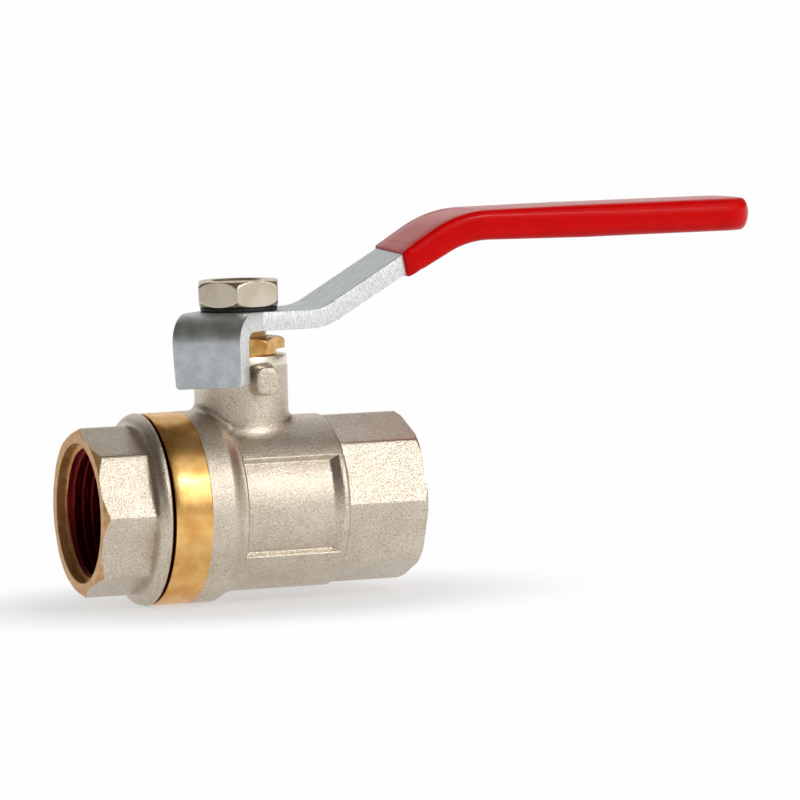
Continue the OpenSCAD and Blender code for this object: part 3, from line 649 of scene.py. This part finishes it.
strip_len, tab_len = sum(leg for leg, _ in strip_legs), sum(leg for leg, _ in tab_legs)
across = np.linspace(-1, 1, 13)
meet = np.array([(tab_half - strip_half * math.cos(tab_turn)) / math.sin(tab_turn), -strip_half])
tab_meet = -meet @ np.array([math.cos(tab_turn), math.sin(tab_turn)])
strip_stops = steps(0.0, (4.0, 2), (strip_legs[0][0], 4), (strip_legs[0][0] + strip_legs[1][0], 9),
                    (sum(leg for leg, _ in strip_legs[:3]), 10), (sum(leg for leg, _ in strip_legs[:4]), 14),
                    (strip_len - strip_corner, 12), (strip_len, 10))[1:, None]
strip_skew = np.clip(1 - strip_stops / strip_skew_len, 0, 1) * meet[0] * across
strip_s = strip_stops + strip_skew
strip_out, strip_z, _ = walk(strip_s, hub_mid_z, strip_legs)
strip_y = -across * rounded_end(strip_s, strip_len, strip_half, strip_corner)
tab_stops = steps(0.0, (tab_skew_len, 3), (tab_bend_x, 1), (tab_bend_x + tab_legs[1][0], 12),
                  (tab_len - tab_corner, 4), (tab_len, 8))[1:, None]
tab_s = np.maximum(tab_stops, 0) + np.clip(1 - tab_stops / tab_skew_len, 0, 1) * tab_meet * across
tab_out, tab_z, _ = walk(tab_s, hub_mid_z, tab_legs)
tab_side = across * rounded_end(tab_s, tab_len, tab_half, tab_corner)
tab_down = np.clip((lean_top_z - tab_z) / lean_len, 0, 1)
tab_side = tab_side + (1 - across) / 2 * lean_out * tab_down ** 2
tab_z = tab_z + lean_up * tab_down ** 2 * across
out_x, out_y = -math.cos(tab_turn), -math.sin(tab_turn)
lever_grid = np.concatenate([
    np.stack([out_x * tab_out - out_y * tab_side, out_y * tab_out + out_x * tab_side, tab_z], -1)[::-1],
    np.stack([meet[0] * across, meet[1] * across, np.full_like(across, hub_mid_z)], -1)[None],
    np.stack([strip_out, strip_y * np.ones_like(strip_out), strip_z], -1)])
lever_cells = cells(len(lever_grid), len(across), round_columns=False)
zinc_plate = Finish("zinc_plate")
plate_cloud = zinc_plate.mottle(3.5, 4.0, 0.6)
plate_pits = zinc_plate.mottle(0.7, 2.0, 0.6)
plate_streaks = zinc_plate.mottle(1.0, 3.0, 0.6, where=zinc_plate.stretch(1.6, 1.6, 0.35))
plate_colour = zinc_plate.blend(plate_cloud.fade(0.36, 0.64), (0.60, 0.655, 0.685), (0.74, 0.79, 0.83))
plate_colour = zinc_plate.blend(plate_streaks.fade(0.52, 0.70) * 0.30, plate_colour, (0.74, 0.77, 0.77))
zinc_plate.surface(
    base_color=zinc_plate.blend(plate_pits.fade(0.62, 0.74) * 0.45, plate_colour, (0.28, 0.30, 0.31)),
    metallic=1.0, roughness=0.40 + plate_cloud * 0.14,
    normal=zinc_plate.relief(plate_cloud * 0.8 + plate_pits * 0.5, 0.05))
zinc_sheared = Finish("zinc_sheared")
sheared_grain = zinc_sheared.mottle(0.45, 2.0, 0.6)
sheared_lines = zinc_sheared.mottle(0.5, 2.0, 0.6, where=zinc_sheared.stretch(1.4, 1.4, 0.35))
sheared_colour = zinc_sheared.blend(
    sheared_grain.fade(0.52, 0.62) * 0.5, (0.93, 0.95, 0.95), (0.52, 0.55, 0.54))
sheared_colour = zinc_sheared.blend(sheared_lines.fade(0.50, 0.64) * 0.5, sheared_colour, (0.62, 0.64, 0.64))
zinc_sheared.surface(
    base_color=sheared_colour, metallic=0.8, roughness=0.42 + sheared_lines * 0.2,
    normal=zinc_sheared.relief(sheared_lines + sheared_grain * 0.5, 0.12))
lever = put("lever_strip", [(lever_grid, lever_cells, 0)], [zinc_plate.material, zinc_sheared.material])
wall = lever.modifiers.new("thickness", "SOLIDIFY")
wall.thickness, wall.offset, wall.use_even_offset = strip_t * MM, 0.0, True
wall.material_offset_rim = 1
edges = lever.modifiers.new("edges", "BEVEL")
edges.width, edges.segments = edge_bevel * MM, 2
edges.limit_method, edges.angle_limit = "ANGLE", bevel_from
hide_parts("lever")
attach(lever, "lever_and_stem")


# ---------------------------------------------------------------- the grip sleeve
# Soft red plastic, dipped hot on to the grip: round at the edges and the far end, and drawn thin at its
# mouth, which lies a little askew across the slope.
sleeve_half, sleeve_half_t, slope_half_t, mouth_half = 11.65, 4.05, 3.2, 10.30
sleeve_end_round, sleeve_corner, sleeve_sag, dip_gap = 3.6, 8.9, 0.5, 0.05
lip_corner, slope_corner, corner_more, last_corner = 0.4, 1.7, 1.4, 3.1
sleeve_mouth, sleeve_len = 42.85, strip_len + 1.38
mouth_lean, mouth_skew, mouth_reach = 0.35, 0.065, 6.0


def oblong(turn, half_w, half_t, corner):
    """Outline of a flat bar with rounded corners: a circle of the corner's size, pushed out to the sides."""
    side, top = np.cos(turn), np.sin(turn)
    sideways = (half_w - corner) * np.clip(side * 6, -1, 1) + corner * side
    upwards = (half_t - corner) * np.clip(top * 6, -1, 1) + corner * top
    return sideways, upwards


def bend_round(length, sideways, off, legs, z):
    """Places of a section that is carried along a bent strip, off its middle line and sideways from it."""
    reach, height, heading = walk(length, z, legs)
    return np.stack(np.broadcast_arrays(
        reach - off * np.sin(heading), sideways, height + off * np.cos(heading)), -1)


sleeve_turns = np.linspace(0, 2 * math.pi, 72, endpoint=False)
lip = steps(0.0, (0.2, 3), (1.0, 7))[:, None]
lip_length = 3.2
outer_s = steps(sleeve_mouth + lip_length, (50.0, 6), (sum(leg for leg, _ in strip_legs[:3]), 4),
                (sum(leg for leg, _ in strip_legs[:4]), 16), (sleeve_len - 9.0, 20),
                (sleeve_len, 22))[:, None]
outer_w = rounded_end(outer_s, sleeve_len, sleeve_half, sleeve_corner)
end_round = np.clip(outer_s - (sleeve_len - sleeve_end_round), 0, sleeve_end_round)
outer_t = np.interp(outer_s, [sleeve_mouth, 52.0, 92.0], [slope_half_t, 3.5, sleeve_half_t])
outer_t = outer_t - sleeve_end_round + np.sqrt(sleeve_end_round ** 2 - end_round ** 2)
lip_rise = 0.35 + 0.65 * np.sqrt(1 - (1 - lip) ** 2)
lip_rise[0] = 0.0
lip_t = strip_t / 2 + dip_gap
all_s = np.concatenate([sleeve_mouth + lip * lip_length, outer_s[1:], np.full((3, 1), sleeve_len)])
end_shares = np.array([[0.6], [0.3], [0]])
all_w = np.concatenate([
    mouth_half + (sleeve_half - mouth_half) * lip_rise, outer_w[1:], outer_w[-1] * end_shares])
all_t = np.concatenate([lip_t + (slope_half_t - lip_t) * lip_rise, outer_t[1:], outer_t[-1] * end_shares])
inner_s = steps(sleeve_mouth, (50.0, 4), (80.0, 16), (strip_len - 8.0, 6), (strip_len, 8))[:, None]
inner_w = rounded_end(inner_s, strip_len, strip_half + dip_gap, strip_corner)
all_s = np.concatenate([np.full((1, 1), strip_len), inner_s[::-1], all_s])
all_w = np.concatenate([np.zeros((1, 1)), inner_w[::-1], all_w])
all_t = np.concatenate([np.zeros((1, 1)), np.full_like(inner_w, lip_t), all_t])
outer_corner = slope_corner + corner_more * np.clip((outer_s - 55.0) / 50.0, 0, 1)
all_corner = np.minimum(np.concatenate([
    np.full((len(inner_s) + 1, 1), lip_corner), lip_corner + (slope_corner - lip_corner) * lip,
    outer_corner[1:], np.full((3, 1), last_corner)]), np.minimum(all_w, all_t))
sleeve_y, sleeve_off = oblong(sleeve_turns, all_w, all_t, all_corner)
sleeve_off = sleeve_off - sleeve_sag * np.clip((all_t - lip_t) / (sleeve_half_t - lip_t), 0, 1)
mouth_share = np.clip(1 - (all_s - sleeve_mouth) / mouth_reach, 0, 1)
askew = mouth_share * (mouth_lean * sleeve_off + mouth_skew * sleeve_y)
sleeve_grid = bend_round(all_s + askew, sleeve_y, sleeve_off, strip_legs, hub_mid_z)
red_dip = Finish("red_dip")
dip_wave = red_dip.mottle(6.0, 1.0)
dip_grain = red_dip.mottle(0.8, 2.0)
red_dip.surface(
    base_color=red_dip.blend(dip_wave.fade(0.3, 0.7), (0.88, 0.001, 0.002), (0.95, 0.002, 0.003)),
    roughness=0.17 + dip_grain * 0.08, specular_ior_level=0.12,
    normal=red_dip.relief(dip_wave + dip_grain * 0.08, 0.08))
sleeve = put("grip_sleeve", [(sleeve_grid, cells(len(all_s), len(sleeve_turns)), 0)],
             [red_dip.material], 60.0)
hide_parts("lever_sleeve")
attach(sleeve, "lever_and_stem")


# ---------------------------------------------------------------- the washer and the nuts
# A near-black washer and a plated nut hold the lever on the stem; the washer's black is partly its own finish
# and partly painted shade under the nut. The brass gland nut below presses the packing.
def spun(name, profile, finish, node, rides, columns=96):
    """A ring turned on the lathe: its profile of radius and height runs round the stem and closes."""
    turns = np.linspace(0, 2 * math.pi, columns, endpoint=False)
    r, z = np.array(profile)[:, :1], np.array(profile)[:, 1:]
    piece = put(name, [(round_stem(r * np.ones_like(turns), z, turns),
                        cells(len(profile), columns, round_rows=True), 0)], [finish.material])
    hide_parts(node)
    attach(piece, rides)


nut_face_in, nut_soft, nut_crisp, no_cone = 0.3, 0.3, 220, 99.0


def hexagon_rows(half_flat, low, high, low_cut, high_cut, turn, turns):
    """The outside of a nut from its low face to its high face: six flats, less the rounded cone that turns
    off the corners at each end. low_cut and high_cut are how far along the corners the cones reach."""
    corner, face_r = half_flat / math.cos(math.pi / 6), half_flat - nut_face_in
    z = steps(low, (low + max(low_cut, 0.3) * 1.2, 14), (high - high_cut * 1.2, 2), (high, 14))[:, None]
    flats = many_sides(turns - turn, 6, half_flat, nut_crisp)
    low_cone = face_r + (corner - face_r) * np.sqrt((z - low) / low_cut) if low_cut else no_cone + 0 * z
    high_cone = face_r + (corner - face_r) * np.sqrt((high - z) / high_cut)
    r = lesser(flats + 0 * z, np.minimum(low_cone, high_cone) + 0 * flats, nut_soft)
    return round_stem(r, z + 0 * flats, turns)


def nut(name, half_flat, low, high, low_cut, high_cut, turn, bore, tail, finish, node, rides):
    """A hexagon nut with its bore, and a round tail below it where it has one."""
    turns = (corner_turns(6, 144, 0.7) + turn) % (2 * math.pi)
    turns.sort()
    outside = hexagon_rows(half_flat, low, high, low_cut, high_cut, turn, turns)
    top = [round_stem(np.full_like(turns, r), np.full_like(turns, z), turns)[None]
           for r, z in ((bore + 0.7, high), (bore, high - 0.7), *tail)]
    grid = np.concatenate([outside, *top])
    piece = put(name, [(grid, cells(len(grid), len(turns), round_rows=True), 0)], [finish.material])
    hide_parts(node)
    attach(piece, rides)


washer_z, washer_t, washer_r, washer_bore_r, washer_edge = 46.8, 1.1, 9.3, 6.0, 0.25
# Painted shade in part: the washer is darkened to near black for the shade under the nut, as well as for its
# own dark finish.
washer_black_and_shaded = Finish("washer_black_and_shaded")
washer_grain = washer_black_and_shaded.mottle(0.5, 2.0)
washer_black_and_shaded.surface(
    base_color=washer_black_and_shaded.blend(washer_grain.fade(0.4, 0.7), (0.012, 0.012, 0.013), (0.035, 0.034, 0.034)),
    roughness=0.45 + washer_grain * 0.15, normal=washer_black_and_shaded.relief(washer_grain, 0.02))
spun("stem_washer", [
    (washer_bore_r, washer_z), (washer_r - washer_edge, washer_z), (washer_r, washer_z + washer_edge),
    (washer_r, washer_z + washer_t - washer_edge), (washer_r - washer_edge, washer_z + washer_t),
    (washer_bore_r, washer_z + washer_t)], washer_black_and_shaded, "lever_washer", "lever_and_stem")

nut_nickel = Finish("nut_nickel")
nut_cloud = nut_nickel.mottle(5.0, 2.0)
nut_scratch = nut_nickel.mottle(1.0, 2.0, where=nut_nickel.stretch(0.6, 0.6, 3.0))
nut_nickel.surface(
    base_color=nut_nickel.blend(nut_cloud.fade(0.3, 0.7), (0.64, 0.55, 0.43), (0.74, 0.67, 0.55)),
    metallic=1.0, roughness=0.26 + nut_scratch * 0.12,
    normal=nut_nickel.relief(nut_cloud + nut_scratch * 0.3, 0.05))
nut_half_flat, nut_z, nut_top, nut_bore_r = 9.5, washer_z + washer_t, 54.2, 5.96
nut_cut, nut_turn = 1.5, math.radians(8.5)
nut("stem_nut", nut_half_flat, nut_z, nut_top, nut_cut, nut_cut, nut_turn, nut_bore_r,
    [(nut_bore_r, nut_z + 0.3), (7.0, nut_z)], nut_nickel, "lever_nut", "lever_and_stem")

gland_brass = Finish("gland_brass")
gland_cloud = gland_brass.mottle(2.5, 3.0)
gland_brass.surface(
    base_color=gland_brass.blend(gland_cloud.fade(0.35, 0.65), (0.58, 0.30, 0.08), (0.76, 0.46, 0.16)),
    metallic=1.0, roughness=0.20 + gland_cloud * 0.1, normal=gland_brass.relief(gland_cloud, 0.04))
gland_z, gland_top, gland_foot = 37.5, 40.4, 32.25
gland_bore_r, gland_thread_r, gland_collar_r = 6.46, 7.94, 8.9
gland_cut, gland_turn = 0.9, math.radians(47)
nut("gland_hexagon", nut_half_flat, gland_z, gland_top, 0.0, gland_cut, gland_turn, gland_bore_r,
    [(gland_bore_r, gland_foot), (gland_thread_r, gland_foot), (gland_thread_r, 36.2),
     (gland_collar_r, 36.25), (gland_collar_r, gland_z)], gland_brass, "gland_nut", "body")


# ---------------------------------------------------------------- the inside
# The ball and its seats, the stem and its packing keep the solids' own shapes. Each gets its finish; the
# stem's brass is painted dark brown, as shade under the lever.
def sort_out(finish, *nodes):
    """Gives every named solid this finish in place of the one that it came with."""
    for node in nodes:
        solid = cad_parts[node]
        for place in range(max(1, len(solid.material_slots))):
            if solid.material_slots:
                solid.material_slots[place].material = finish.material
            else:
                solid.data.materials.append(finish.material)


chrome = Finish("ball_chrome")
chrome_haze = chrome.mottle(3.0, 2.0)
chrome.surface(base_color=(0.80, 0.81, 0.83), metallic=1.0, roughness=0.06 + chrome_haze * 0.08)
white_ptfe = Finish("white_ptfe")
ptfe_cloud = white_ptfe.mottle(2.0, 2.0)
white_ptfe.surface(
    base_color=white_ptfe.blend(ptfe_cloud.fade(0.3, 0.7), (0.80, 0.80, 0.77), (0.88, 0.88, 0.85)),
    roughness=0.45 + ptfe_cloud * 0.1, normal=white_ptfe.relief(ptfe_cloud, 0.01))
ring_rubber = Finish("ring_rubber")
rubber_grain = ring_rubber.mottle(0.3, 2.0)
ring_rubber.surface(
    base_color=ring_rubber.blend(rubber_grain.fade(0.4, 0.7), (0.015, 0.015, 0.015), (0.04, 0.04, 0.04)),
    roughness=0.55 + rubber_grain * 0.15, normal=ring_rubber.relief(rubber_grain, 0.01))
# Painted shade: the stem and packing follower are painted a dark brown brass for the shade they stand in
# under the lever.
stem_brass_painted_shade = Finish("stem_brass_painted_shade")
stem_rings = stem_brass_painted_shade.mottle(1.0, 2.0, 0.6, where=stem_brass_painted_shade.stretch(0.15, 0.15, 12))
stem_brass_painted_shade.surface(
    base_color=stem_brass_painted_shade.blend(stem_rings.fade(0.3, 0.7), (0.34, 0.18, 0.065), (0.50, 0.29, 0.11)),
    metallic=1.0, roughness=0.26 + stem_rings * 0.12, normal=stem_brass_painted_shade.relief(stem_rings, 0.015))
sort_out(chrome, "ball")
sort_out(white_ptfe, "body_seal_ring", "inlet_seat", "outlet_seat", "stem_thrust_washer",
         "packing_ring_lower", "packing_ring_upper")
sort_out(ring_rubber, "stem_o_ring")
sort_out(stem_brass_painted_shade, "stem", "packing_follower")
